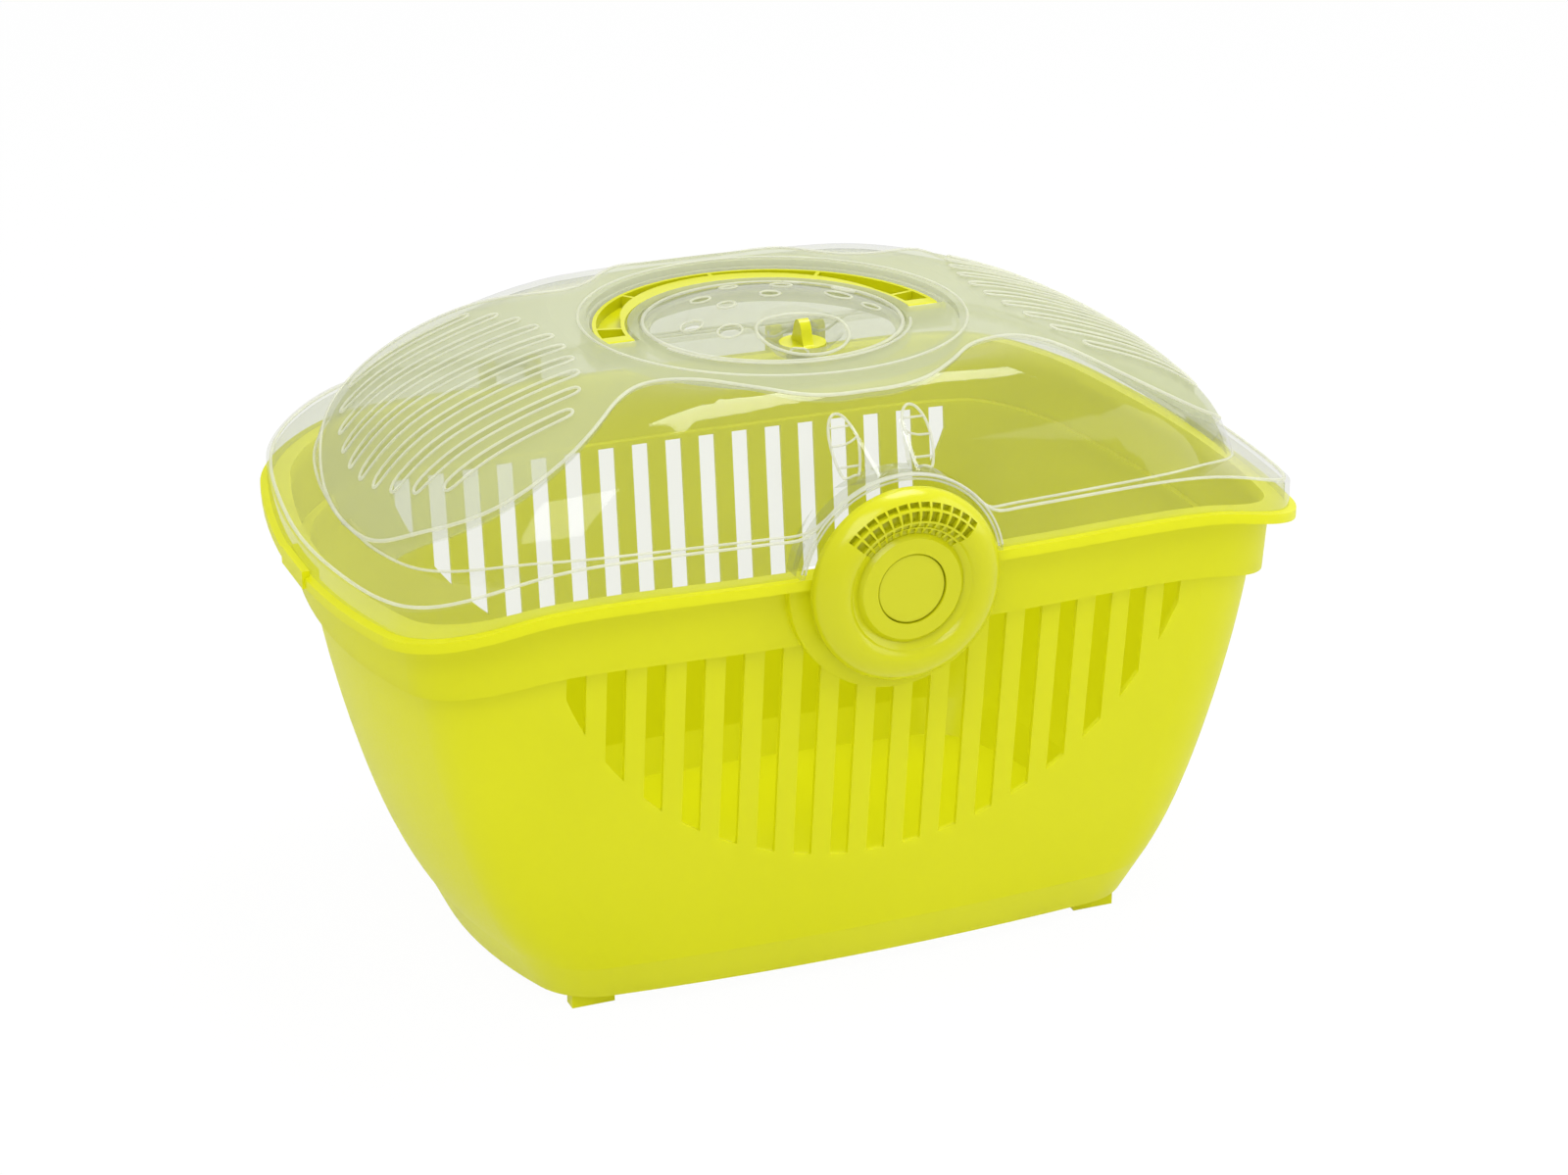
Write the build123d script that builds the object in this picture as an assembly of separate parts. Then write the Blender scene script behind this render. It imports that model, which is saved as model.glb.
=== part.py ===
from build123d import *
from math import atan2, degrees, pi, radians, sin, sqrt
import os

# A small panoramic pet carrier: a slotted tub, a clear domed lid hinged at the rear,
# a round front latch, a bail handle let into the top and a lift-out treat hatch.
# Millimetres. X runs along the carrier, the latch faces -Y, Z is up, and the origin
# lies under the middle of the tub, on the floor.

# Rim of the tub, seen from above: four shallow arcs with rounded corners.
rim_half_length = 226
rim_half_width = 146
rim_corner = 54
end_bow = 22
side_bow = 8

# The rim stands highest over the middle and sinks towards both ends.
rim_height = 210.5
rim_drop = 25
rim_level_reach = 141
rim_drop_reach = 265

# Tub wall, stepped-out band and lip.
wall = 2.4
lip_out = 6
lip_thickness = 4.5
tab_half_length = 17
tab_height = 2.6
tab_out = 0.8
band_height = 34
band_draft = 3
band_step = 6
wall_draft_side = 20
end_curve = (0, 4, 9, 17, 28, 46)
wall_corner = 48
crease_corner = 40
crease_height = 26
bottom_height = 7
bottom_inset = 9
foot_length = 20
foot_width = 7
foot_span = 248
foot_spread = 178

# Slots in the long walls end on a shallow round line.
slot_pitch = 17.5
slot_count = 17
slot_width = 8.6
slot_round_radius = 155
slot_lowest = 66

# Lid: skirt on the lip, shoulder, and a dome given by half length, half width,
# corner radius and height above the floor.
fit_gap = 0.3
lid_wall = 2
skirt_inset = 3
skirt_height = 14
skirt_sink = 9
shoulder_thickness = 2.6
dome_top = 279
deck_sink = 3
deck_radius = 84
dome_foot = 229
dome_sections = (
    (207, 139, 80, dome_foot - 44),
    (197, 135, 78, dome_foot),
    (186, 130, 74, dome_foot + 15),
    (162, 120, 64, dome_foot + 31),
    (131, 109, 50, dome_foot + 43),
    (97, 96, 38, dome_top),
)
louvre_count = 10
louvre_pitch = 16
louvre_width = 5
louvre_middle = 149
louvre_half_length = 47
louvre_field = 1.12
fin_spacing = 27
fin_front_spacing = 17
fin_thickness = 1.8
fin_height = 12
fin_back_y = -98
arch_front_inset = 0.5

# Round hatch in the lid.
hatch_radius = 60
hatch_clearance = 0.6
hatch_seat_width = 4.5
hatch_seat_thickness = 2
hatch_plate = 2
hatch_crown = 11
hatch_sink = 1.5
hatch_edge = 0.6
hatch_play = 0.1
hatch_edge_width = 2
funnel_radius = 20
funnel_offset = 35
funnel_depth = 8.5
funnel_flare = 1.6
vent_holes = (
    (-42, -8, 4.5),
    (-30, -24, 5),
    (-27, 20, 4),
    (-21, 3, 3.6),
    (-6, -46, 3.4),
    (-8, 34, 3.6),
    (2, 8, 4),
    (14, 24, 4.4),
    (26, 40, 3.6),
    (34, 4, 5.6),
    (44, -10, 3.6),
    (44, 22, 4.6),
)

# Knob in the funnel and the tongue that it turns.
knob_stem_radius = 4
knob_base_radius = 10.5
knob_base_thickness = 2.4
knob_fin_height = 10.5
knob_fin_thickness = 5
knob_clearance = 0.1
tongue_width = 10
tongue_thickness = 2.6
tongue_hub_radius = 7.5
notch_clearance = 1

# Bail handle, lying in its channel behind the hatch.
handle_radius = 81.2
handle_inner_radius = 66.5
handle_thickness = 7
handle_skin = 1.8
grip_offset = 12
grip_radius = 64.5
handle_ribs = (-76, -38, 38, 76)
handle_clearance = 1.2
pivot_radius = 2.6
pivot_length = 4
pivot_clearance = 0.08
handle_sink = 0.8

# Front latch: a domed disc on a pin low on the tub, with a pressed-in centre cap.
latch_radius = 43
latch_height = 203.5
latch_gap = 1
latch_depth = 11
latch_shell = 2.2
latch_rim_depth = 4
disc_crest_radius = 31
disc_shoulder = 2.4
ring_radius = 22.5
groove_radius = 24.5
groove_edge_radius = 27.5
groove_sink = 2.6
groove_depth = 4.4
cap_sink = 3.4
disc_core = 9
cap_radius = 15.4
cap_gap = 0.35
cap_thickness = 2.4
grip_columns = 13
grip_half_angle = 50
grip_row_edges = (23.8, 27.4, 30.6, 36, 39.4)
grip_floors = (6.4, 8.6, 8.4, 7)
grip_rib = 1
latch_pin_radius = 1.4
latch_pin_drop = 36.5
latch_ear_radius = 3
latch_ear_thickness = 3
latch_ear_inner = 3.5
latch_ear_foot = 1.8
latch_fit = 0.08
latch_side_gap = 0.4
finger_width = 8
finger_height = 5
finger_spacing = 44
finger_rise = 3
catch_gap = 0.4
catch_depth = 7
pad_radius = 50
pad_set_back = 5
arch_wall = 2
arch_gap = 2.5
arch_back = 14

# Rear hinge: two stations of two tub ears, one lid knuckle and one pin each.
hinge_spacing = 150
hinge_radius = 4.4
hinge_pin_radius = 1.5
hinge_fit = 0.06
hinge_out = 7.6
hinge_rise = 6
knuckle_length = 16
ear_length = 6
hinge_side_gap = 0.5


def rim_wave(x):
    """Height of the rim at x: level in the middle, then an S-curve down to the ends."""
    t = (abs(x) - rim_level_reach) / (rim_drop_reach - rim_level_reach)
    t = min(max(t, 0), 1)
    return rim_height - rim_drop * t * t * (3 - 2 * t)


def below_wave(offset, sink=0):
    """Everything under the rim curve moved up by offset, with its ends lower by sink."""
    reach = rim_half_length + 25
    left = [(-reach + i * (reach - rim_level_reach) / 6) for i in range(7)]
    level = [-rim_level_reach / 2, 0, rim_level_reach / 2]
    xs = left + level + [-x for x in reversed(left)]
    share = sink / rim_drop
    points = [(x, rim_wave(x) * (1 + share) - rim_height * share + offset) for x in xs]
    curve = Spline([Vector(x, z) for x, z in points], tangents=[(1, 0.1), (1, -0.1)])
    sides = Polyline((-reach, points[0][1]), (-reach, -20), (reach, -20), (reach, points[-1][1]))
    profile = Plane.XZ * make_face([curve, sides])
    return extrude(profile, rim_half_width + 60, both=True)


def outline(half_length, half_width, corner, z):
    """Plan shape of the tub and lid: four shallow arcs with rounded corners."""
    cx = half_length - end_bow
    cy = half_width - side_bow
    arcs = [
        ThreePointArc((-cx, -cy), (0, -half_width), (cx, -cy)),
        ThreePointArc((cx, -cy), (half_length, 0), (cx, cy)),
        ThreePointArc((cx, cy), (0, half_width), (-cx, cy)),
        ThreePointArc((-cx, cy), (-half_length, 0), (-cx, -cy)),
    ]
    flat = make_face(arcs)
    rounded = fillet(flat.vertices(), corner)
    return Pos(0, 0, z) * rounded


def prism(half_length, half_width, corner, draft=0):
    """The outline drawn up through the whole height of the rim, with a slight draft."""
    low = 120
    high = rim_height + 60
    spread = (high - low) * sin(radians(draft))
    lower = outline(half_length - spread, half_width - spread, corner - spread / 2, low)
    return loft([lower, outline(half_length, half_width, corner, high)], ruled=True)


def tub_body(inset):
    """Tapered body under the band, smaller by inset all round."""
    top_z = rim_height
    half_length = rim_half_length - lip_out - band_step - inset
    half_width = rim_half_width - lip_out - band_step + 1 - inset
    faces = []
    count = len(end_curve)
    for i, pull in enumerate(end_curve):
        t = i / (count - 1)
        z = top_z - (top_z - crease_height) * t
        narrow = wall_draft_side * t
        corner = wall_corner - (wall_corner - crease_corner) * t - inset
        faces.append(outline(half_length - pull, half_width - narrow, corner, z))
    body = loft(faces)
    sole = outline(
        half_length - end_curve[-1] - bottom_inset,
        half_width - wall_draft_side - bottom_inset,
        crease_corner - bottom_inset - inset,
        bottom_height,
    )
    return body + loft([faces[-1], sole], ruled=True)


def cylinder_y(radius, x, z, y_from, y_to):
    """Round bar along Y."""
    middle = (y_from + y_to) / 2
    return Pos(x, middle, z) * Rot(90, 0, 0) * Cylinder(radius, abs(y_to - y_from))


def cylinder_x(radius, y, z, x_from, x_to):
    """Round bar along X."""
    middle = (x_from + x_to) / 2
    return Pos(middle, y, z) * Rot(0, 90, 0) * Cylinder(radius, abs(x_to - x_from))


def block(x0, x1, y0, y1, z0, z1):
    """Box between two corners."""
    middle = Pos((x0 + x1) / 2, (y0 + y1) / 2, (z0 + z1) / 2)
    return middle * Box(x1 - x0, y1 - y0, z1 - z0)


def latch_front(extra=0):
    """Y of the plane just in front of the lip, where the latch lies."""
    return -(rim_half_width + latch_gap + extra)


def base_tub():
    """Tub with stepped-out band, lip, slots, latch pad, hinge ears and feet."""
    step_z = -band_height
    band_length = rim_half_length - lip_out
    band_width = rim_half_width - lip_out
    corner = rim_corner - lip_out / 2
    low = below_wave(step_z)
    low_in = below_wave(step_z + wall)
    top = below_wave(0)
    band = (prism(band_length, band_width, corner, band_draft) & top) - low
    lip = (prism(rim_half_length, rim_half_width, rim_corner) & top) - below_wave(-lip_thickness)
    pad = cylinder_y(pad_radius, 0, latch_height, -(rim_half_width - pad_set_back), -100) & top
    inner_band = prism(band_length - wall, band_width - wall, corner - wall, band_draft)
    cavity = tub_body(wall) - block(-400, 400, -400, 400, 0, bottom_height + wall)
    upper = (band + lip + pad) - (inner_band - low_in) - cavity
    lower = (tub_body(0) - cavity) & low_in
    shell = (lower + upper) - slots() + feet()
    return shell + end_tabs() + latch_ears() + hinge_ears()


def end_tabs():
    """Low stops on the lip at both ends, just outside the skirt of the lid."""
    inner = rim_half_length - skirt_inset + fit_gap
    outer = rim_half_length + tab_out
    low = rim_wave(outer) - lip_thickness
    high = rim_wave(inner) + tab_height
    made = None
    for side in (-1, 1):
        x0, x1 = min(side * inner, side * outer), max(side * inner, side * outer)
        tab = block(x0, x1, -tab_half_length, tab_half_length, low, high)
        made = tab if made is None else made + tab
    return made


def slots():
    """Slots through both long walls, cut off below by a round line and clear of the pad."""
    reach = rim_half_width + 40
    strips = None
    first = -(slot_count - 1) / 2
    for i in range(slot_count):
        x = (first + i) * slot_pitch
        strip = block(x - slot_width / 2, x + slot_width / 2, -reach, reach, 0, rim_height)
        strips = strip if strips is None else strips + strip
    centre = slot_lowest + slot_round_radius
    field = cylinder_y(slot_round_radius, 0, centre, -reach, reach)
    field = field & block(-400, 400, -reach, reach, 0, rim_height - band_height)
    pad = cylinder_y(pad_radius, 0, latch_height, -reach, 0)
    return (strips & field) - pad


def feet():
    """Four short bars under the tub."""
    made = None
    for sx in (-1, 1):
        for sy in (-1, 1):
            x = sx * foot_span / 2
            y = sy * foot_spread / 2
            foot = Pos(x, y, bottom_height / 2 + 0.5) * Box(foot_length, foot_width, bottom_height + 1)
            made = foot if made is None else made + foot
    return made


def latch_axis():
    """Y and Z of the latch pin."""
    return latch_front(0.5), latch_height - latch_pin_drop


def latch_ears():
    """Two ears on the pad that hold the latch pin."""
    y, z = latch_axis()
    pad_front = -(rim_half_width - pad_set_back)
    made = None
    for side in (-1, 1):
        inner = side * latch_ear_inner
        outer = side * (latch_ear_inner + latch_ear_thickness)
        x0, x1 = min(inner, outer), max(inner, outer)
        ear = cylinder_x(latch_ear_radius, y, z, x0, x1)
        ear += block(x0, x1, y, pad_front + 1, z - latch_ear_foot, z + latch_ear_radius)
        ear -= cylinder_x(latch_pin_radius + latch_fit, y, z, x0 - 1, x1 + 1)
        made = ear if made is None else made + ear
    return made


def latch_pin():
    """Pin through the latch ears and lugs."""
    y, z = latch_axis()
    half = latch_ear_inner + latch_ear_thickness + latch_side_gap + latch_ear_thickness
    return cylinder_x(latch_pin_radius, y, z, -half, half)


def latch_profile_half():
    """Half section of the latch disc: convex outer ring, groove, raised ring and cap seat."""
    edge = latch_rim_depth - 1
    seat = latch_depth - cap_sink - cap_thickness
    groove_edge = latch_depth - groove_sink
    well = cap_radius + cap_gap
    crown = Spline(
        (latch_radius, edge),
        (latch_radius - 4, latch_depth - disc_shoulder),
        (disc_crest_radius, latch_depth),
        (groove_edge_radius, groove_edge),
    )
    inner = Polyline(
        (groove_edge_radius, groove_edge),
        (groove_radius, latch_depth - groove_depth),
        (ring_radius, latch_depth - disc_shoulder),
        (well, groove_edge),
        (well, seat),
        (0, seat),
        (0, 0),
        (latch_radius, 0),
        (latch_radius, edge),
    )
    return make_face([crown, inner])


def latch_hollow_half():
    """Half section of the hollow behind the disc."""
    skin = latch_radius - latch_shell
    return make_face(
        Polyline(
            (0, -1),
            (skin, -1),
            (skin, latch_rim_depth - 1.5),
            (latch_radius - 6, latch_depth - 5),
            (groove_edge_radius + 2.5, latch_depth - latch_shell - 1),
            (groove_edge_radius - 0.5, latch_depth - 5.4),
            (groove_radius + 0.5, latch_depth - 7.2),
            (ring_radius - 1, latch_depth - 6),
            (cap_radius + 3.6, latch_depth - disc_core),
            (0, latch_depth - disc_core),
            close=True,
        )
    )


def turned_disc(profile):
    """Turn a half section about the latch centre line, facing the front."""
    turned = revolve(Plane.XZ * profile, Axis.Z)
    return Pos(0, latch_front(), latch_height) * Rot(90, 0, 0) * turned


def latch_body():
    """Domed disc, hollow at the back, with ribbed grip, lugs and catch fingers."""
    disc = turned_disc(latch_profile_half())
    disc = disc - turned_disc(latch_hollow_half()) - grip_pockets()
    y, z = latch_axis()
    inner = latch_ear_inner + latch_ear_thickness + latch_side_gap
    shell_front = latch_front() - latch_depth + cap_sink
    for side in (-1, 1):
        a = side * inner
        b = side * (inner + latch_ear_thickness)
        x0, x1 = min(a, b), max(a, b)
        lug = cylinder_x(latch_ear_radius, y, z, x0, x1)
        lug += block(x0, x1, shell_front, y, z - latch_ear_radius, z + latch_ear_radius + 2)
        lug -= cylinder_x(latch_pin_radius + latch_fit, y, z, x0 - 1, x1 + 1)
        disc += lug
        fx = side * finger_spacing / 2
        fz = rim_height + fit_gap + finger_rise
        finger_back = arch_back_plane() - catch_depth - catch_gap
        finger_front = latch_front() - latch_depth / 2
        half = finger_width / 2
        disc += block(fx - half, fx + half, finger_front, finger_back, fz, fz + finger_height)
    return disc


def grip_pockets():
    """Rows of small pockets in the upper part of the disc."""
    made = []
    step = 2 * grip_half_angle / grip_columns
    front = latch_front() - latch_depth - 1
    for inner, outer, floor in zip(grip_row_edges, grip_row_edges[1:], grip_floors):
        middle = (inner + outer) / 2
        wide = 2 * pi * middle * step / 360 - grip_rib
        tall = outer - inner - grip_rib
        back = latch_front() - floor
        cell = block(-wide / 2, wide / 2, front, back, middle - tall / 2, middle + tall / 2)
        for i in range(grip_columns):
            turn = -grip_half_angle + step * (i + 0.5)
            made.append(Pos(0, 0, latch_height) * Rot(0, turn, 0) * cell)
    return Compound(children=made)


def latch_cap():
    """Plain cap pressed into the middle of the latch."""
    seat = latch_depth - cap_sink - cap_thickness
    back = latch_front() - seat
    cap = cylinder_y(cap_radius, 0, latch_height, back - cap_thickness, back)
    return chamfer(cap.edges().filter_by(GeomType.CIRCLE).sort_by(Axis.Y)[0], 0.5)


def arch_back_plane():
    """Y of the back wall of the arch that the latch closes into."""
    return -(rim_half_width - arch_back)


def dome(inset):
    """Loaf-shaped dome; both its plan and its height shrink by inset."""
    faces = []
    for half_length, half_width, corner, height in dome_sections:
        drop = inset if height >= dome_foot else 0
        shape = outline(half_length - inset, half_width - inset, corner - inset, height - drop)
        faces.append(shape)
    return loft(faces)


def lid_shell():
    """Clear domed lid with skirt, shoulder, arch, louvres, hatch seat and handle channel."""
    edge = rim_half_length - skirt_inset
    side = rim_half_width - skirt_inset
    corner = rim_corner - skirt_inset
    top = below_wave(skirt_height + shoulder_thickness, skirt_sink)
    under = below_wave(fit_gap)
    plate_under = below_wave(skirt_height, skirt_sink)
    skirt = (prism(edge, side, corner) & top) - under
    skirt_in = prism(edge - lid_wall, side - lid_wall, corner - lid_wall) & plate_under
    inner = dome(lid_wall)
    outer = dome(0) - under
    drum = arch_drum(lid_wall) - under
    well = channel_block()
    lid = skirt + outer + drum + fins()
    deck_block, deck_space = deck()
    deck_block = deck_block - Pos(0, 0, deck_top() - lid_wall - 10) * Cylinder(deck_radius, 20)
    lid = lid - skirt_in - (inner - well - seat_block() - deck_block)
    lid = lid + (arch_drum(arch_wall) - arch_pocket() - under) - arch_pocket()
    lid = lid - deck_space - channel_space() - hatch_hole() - louvres() - pivot_holes()
    return lid + catch_bar() + hinge_knuckles()


def deck_top():
    """Height of the round deck that holds the hatch and the handle."""
    return dome_top - deck_sink


def deck():
    """Round deck, sunk a little into the top of the dome: its block and the space above."""
    block_height = deck_sink + lid_wall + 2
    solid = Pos(0, 0, dome_top - block_height / 2) * Cylinder(deck_radius + lid_wall, block_height)
    return solid, Pos(0, 0, deck_top() + 10) * Cylinder(deck_radius, 20)


def arch_front():
    """Y of the front face of the arch."""
    return -(rim_half_width - arch_front_inset)


def arch_drum(thickness):
    """Half-round housing that wraps the top of the latch."""
    radius = latch_radius + arch_gap + thickness
    return cylinder_y(radius, 0, latch_height, arch_front(), arch_back_plane() + thickness)


def arch_pocket():
    """Space inside the arch, open to the front."""
    radius = latch_radius + arch_gap
    return cylinder_y(radius, 0, latch_height, -(rim_half_width + 30), arch_back_plane())


def catch_bar():
    """Ridge on the back wall of the arch, just behind the fingers of the latch."""
    back = arch_back_plane()
    half = finger_spacing / 2 + finger_width / 2 + 2
    z = rim_height + fit_gap + finger_rise - 1
    return block(-half, half, back - catch_depth, back + 0.5, z, z + finger_height)


def seat_block():
    """Ring under the hatch: a seat and a short collar."""
    collar = hatch_radius + hatch_clearance + lid_wall
    low = seat_top() - hatch_seat_thickness
    return Pos(0, 0, (low + deck_top()) / 2) * Cylinder(collar, deck_top() - low)


def hatch_hole():
    """Opening for the hatch above its seat, the hole through the seat and the tongue notch."""
    above = Pos(0, 0, seat_top() + 20) * Cylinder(hatch_radius + hatch_clearance, 40)
    through = Pos(0, 0, deck_top() - 20) * Cylinder(hatch_radius - hatch_seat_width, 60)
    half = tongue_width / 2 + notch_clearance
    notch = block(-half, half, -(hatch_radius + 0.4), -40, seat_top() - 8, seat_top() + 1)
    return above + through + notch


def half_ring(inner, outer, z0, z1, front=0):
    """Half of a flat ring, behind the X axis, carried on in front of it by a short straight."""
    ring = Cylinder(outer, z1 - z0) - Cylinder(inner, z1 - z0 + 2)
    ring = Pos(0, 0, (z0 + z1) / 2) * ring
    return ring & block(-200, 200, -front, 200, z0, z1)


def handle_axis_z():
    """Height of the handle pivots."""
    return deck_top() - handle_sink - handle_thickness / 2


def channel_block():
    """Solid round the handle channel, from which the channel is cut."""
    low = handle_axis_z() - handle_thickness / 2 - handle_clearance - lid_wall
    front = handle_thickness / 2 + handle_clearance + lid_wall
    inner = handle_inner_radius - handle_clearance - lid_wall
    outer = handle_radius + handle_clearance + lid_wall + 2
    return half_ring(inner, outer, low, deck_top(), front)


def channel_space():
    """Room for the handle."""
    low = handle_axis_z() - handle_thickness / 2 - handle_clearance
    front = handle_thickness / 2 + handle_clearance
    inner = handle_inner_radius - handle_clearance
    return half_ring(inner, handle_radius + handle_clearance, low, deck_top() + 30, front)


def pivot_holes():
    """Blind holes for the handle pivots in the outer channel wall."""
    reach = handle_radius + pivot_length
    return cylinder_x(pivot_radius + pivot_clearance, 0, handle_axis_z(), -reach, reach) - cylinder_x(
        20, 0, handle_axis_z(), -handle_radius, handle_radius
    )


def carry_handle():
    """Open-topped half-round bail with a smooth grip face and a pivot at each end."""
    z = handle_axis_z()
    half = handle_thickness / 2
    solid = half_ring(handle_inner_radius, handle_radius, z - half, z + half, 0)
    span = handle_radius - handle_inner_radius
    for side in (-1, 1):
        x0 = side * handle_inner_radius
        x1 = side * (handle_inner_radius + span * 0.985)
        solid += cylinder_x(half, 0, z, min(x0, x1), max(x0, x1))
        tip = side * (handle_radius + pivot_length - 0.4)
        solid += cylinder_x(pivot_radius, 0, z, min(x1, tip), max(x1, tip))
    return solid - handle_pockets()


def handle_pockets():
    """Long pocket in the top face, parted by cross ribs, left of and right of the grip."""
    z = handle_axis_z()
    skin = handle_skin
    outer = handle_radius - skin
    inner = handle_inner_radius + skin
    floor = z - handle_thickness / 2 + skin
    ring = half_ring(inner, outer, floor, z + handle_thickness, -6)
    grip = Pos(0, grip_offset, z) * Cylinder(grip_radius, 20)
    ribs = block(-skin / 2, skin / 2, 0, 200, 0, 400)
    for turn in handle_ribs:
        ribs += Rot(0, 0, turn) * block(-skin / 2, skin / 2, 0, 200, 0, 400)
    return ring - grip - ribs


def louvres():
    """Straight slots through both sloping ends of the dome, inside an oval field."""
    made = []
    for side in (-1, 1):
        for i in range(louvre_count):
            y = (i - (louvre_count - 1) / 2) * louvre_pitch
            share = sqrt(1 - (2 * y / (louvre_pitch * louvre_count * louvre_field)) ** 2)
            length = 2 * louvre_half_length * share
            slot = extrude(SlotOverall(length, louvre_width), 40, both=True)
            made.append(Pos(side * louvre_middle, y, dome_top - 30) * slot)
    return Compound(children=made)


def fins():
    """Two upright gussets from the arch up to the deck, closer together at the front."""
    front_y = arch_front() + 3
    front_z = latch_height + latch_radius + arch_gap
    back_z = deck_top() - 0.5
    edge = [(fin_back_y, back_z), (front_y, front_z), (front_y, front_z - fin_height / 2)]
    flat = make_face(Polyline(*edge, (fin_back_y, back_z - fin_height), close=True))
    plate = extrude(Plane.YZ * flat, fin_thickness / 2, both=True)
    run = fin_back_y - front_y
    turn = degrees(atan2((fin_spacing - fin_front_spacing) / 2, run))
    made = None
    for side in (-1, 1):
        at_back = Pos(side * fin_spacing / 2, fin_back_y, 0)
        piece = at_back * Rot(0, 0, -side * turn) * Pos(0, -fin_back_y, 0) * plate
        made = piece if made is None else made + piece
    return made


def seat_top():
    """Height of the seat that the hatch rests on."""
    return deck_top() - hatch_plate - hatch_sink


def crown_radius():
    """Radius of the ball that the hatch is a cap of."""
    return (hatch_radius**2 + hatch_crown**2) / (2 * hatch_crown)


def crown_centre():
    """Height of the middle of that ball."""
    return seat_top() + hatch_plate + hatch_edge + hatch_crown - crown_radius()


def hatch_surface(drop):
    """Ball whose cap forms the hatch, lowered by drop."""
    return Pos(0, 0, crown_centre()) * Sphere(crown_radius() - drop)


def treat_hatch():
    """Crowned round hatch with rim, air holes and a funnel that holds the knob."""
    low = seat_top() + hatch_play
    reach = 40
    puck = Pos(0, 0, low + reach / 2) * Cylinder(hatch_radius, reach)
    core = Pos(0, 0, low + reach / 2) * Cylinder(hatch_radius - hatch_edge_width, reach + 2)
    shell = (puck & hatch_surface(0)) - (core & hatch_surface(hatch_plate))
    floor = funnel_floor()
    height = funnel_depth + 6
    skin = funnel_cone(floor - hatch_plate, height + hatch_plate, hatch_plate)
    room = Pos(0, 0, floor - hatch_plate + reach) * Cylinder(hatch_radius - 1, 2 * reach)
    shell = shell + (skin & hatch_surface(0) & room) - funnel_cone(floor, height, 0)
    shell -= Pos(0, -funnel_offset, floor) * Cylinder(knob_stem_radius + knob_clearance, 20)
    for x, y, radius in vent_holes:
        shell -= Pos(x, y, low + reach / 2) * Cylinder(radius, reach)
    return shell


def funnel_cone(low, height, skin):
    """Cone of the funnel from low upwards, thicker by skin all round."""
    bottom = knob_base_radius + 1 + skin * 0.6
    top = knob_base_radius + 1 + (funnel_radius - knob_base_radius) * funnel_flare + skin
    return Pos(0, -funnel_offset, low + height / 2) * Cone(bottom, top, height)


def funnel_floor():
    """Height of the floor of the funnel."""
    rise = sqrt(crown_radius() ** 2 - funnel_offset**2)
    return crown_centre() + rise - funnel_depth


def hatch_knob():
    """Knob with a round base, an upright fin and a stem through the hatch."""
    base_low = funnel_floor() + hatch_play
    middle = base_low + knob_base_thickness / 2
    base = Pos(0, -funnel_offset, middle) * Cylinder(knob_base_radius, knob_base_thickness)
    stem_low = tongue_top() - tongue_thickness
    stem_length = base_low + 1 - stem_low
    stem = Pos(0, -funnel_offset, stem_low + stem_length / 2) * Cylinder(knob_stem_radius, stem_length)
    top = base_low + knob_base_thickness
    foot = knob_base_radius - 1.8
    shares = ((1, -0.05), (0.62, 0.3), (0.36, 0.82), (0, 1))
    right = [(foot * a, top + knob_fin_height * b) for a, b in shares]
    left = [(-a, b) for a, b in right[:-1]]
    fin_side = make_face([Spline(left + right[::-1]), Line(left[0], right[0])])
    fin = extrude(Plane.YZ * fin_side, knob_fin_thickness / 2, both=True)
    return base + stem + Pos(0, -funnel_offset, 0) * fin


def tongue_top():
    """Height of the top of the tongue, just under the hatch seat."""
    return seat_top() - hatch_seat_thickness - fit_gap


def hatch_tongue():
    """Tongue under the hatch, on the stem of the knob, lying in its notch."""
    top = tongue_top()
    low = top - tongue_thickness
    middle = (top + low) / 2
    hub = Pos(0, -funnel_offset, middle) * Cylinder(tongue_hub_radius, tongue_thickness)
    arm = block(-tongue_width / 2, tongue_width / 2, -hatch_radius + 1, -funnel_offset, low, top)
    tip = Pos(0, 0, middle) * Cylinder(hatch_radius - 0.4, tongue_thickness + 2)
    return (hub + (arm & tip)) - Pos(0, -funnel_offset, middle) * Cylinder(knob_stem_radius + 0.05, 20)


def hinge_axis():
    """Y and Z of the lid hinge."""
    return rim_half_width + hinge_out, rim_height + hinge_rise


def hinge_ears():
    """Tub side of both hinge stations."""
    y, z = hinge_axis()
    made = None
    for station in (-1, 1):
        for side in (-1, 1):
            near = station * hinge_spacing / 2 + side * (knuckle_length / 2 + hinge_side_gap)
            far = near + side * ear_length
            x0, x1 = min(near, far), max(near, far)
            ear = cylinder_x(hinge_radius, y, z, x0, x1)
            ear += block(x0, x1, y - hinge_radius, y + hinge_radius, rim_height - lip_thickness, z)
            inner = rim_half_width - 2
            ear += block(x0, x1, inner, y + hinge_radius, rim_height - lip_thickness, rim_height - 0.5)
            ear -= cylinder_x(hinge_pin_radius + hinge_fit, y, z, x0 - 1, x1 + 1)
            made = ear if made is None else made + ear
    return made


def hinge_knuckles():
    """Lid side of both hinge stations."""
    y, z = hinge_axis()
    made = None
    for station in (-1, 1):
        x = station * hinge_spacing / 2
        x0, x1 = x - knuckle_length / 2, x + knuckle_length / 2
        knuckle = cylinder_x(hinge_radius, y, z, x0, x1)
        inner = rim_half_width - skirt_inset - 1
        knuckle += block(x0, x1, inner, y, z - 1.5, z + hinge_radius)
        knuckle -= cylinder_x(hinge_pin_radius + hinge_fit, y, z, x0 - 1, x1 + 1)
        made = knuckle if made is None else made + knuckle
    return made


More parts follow.
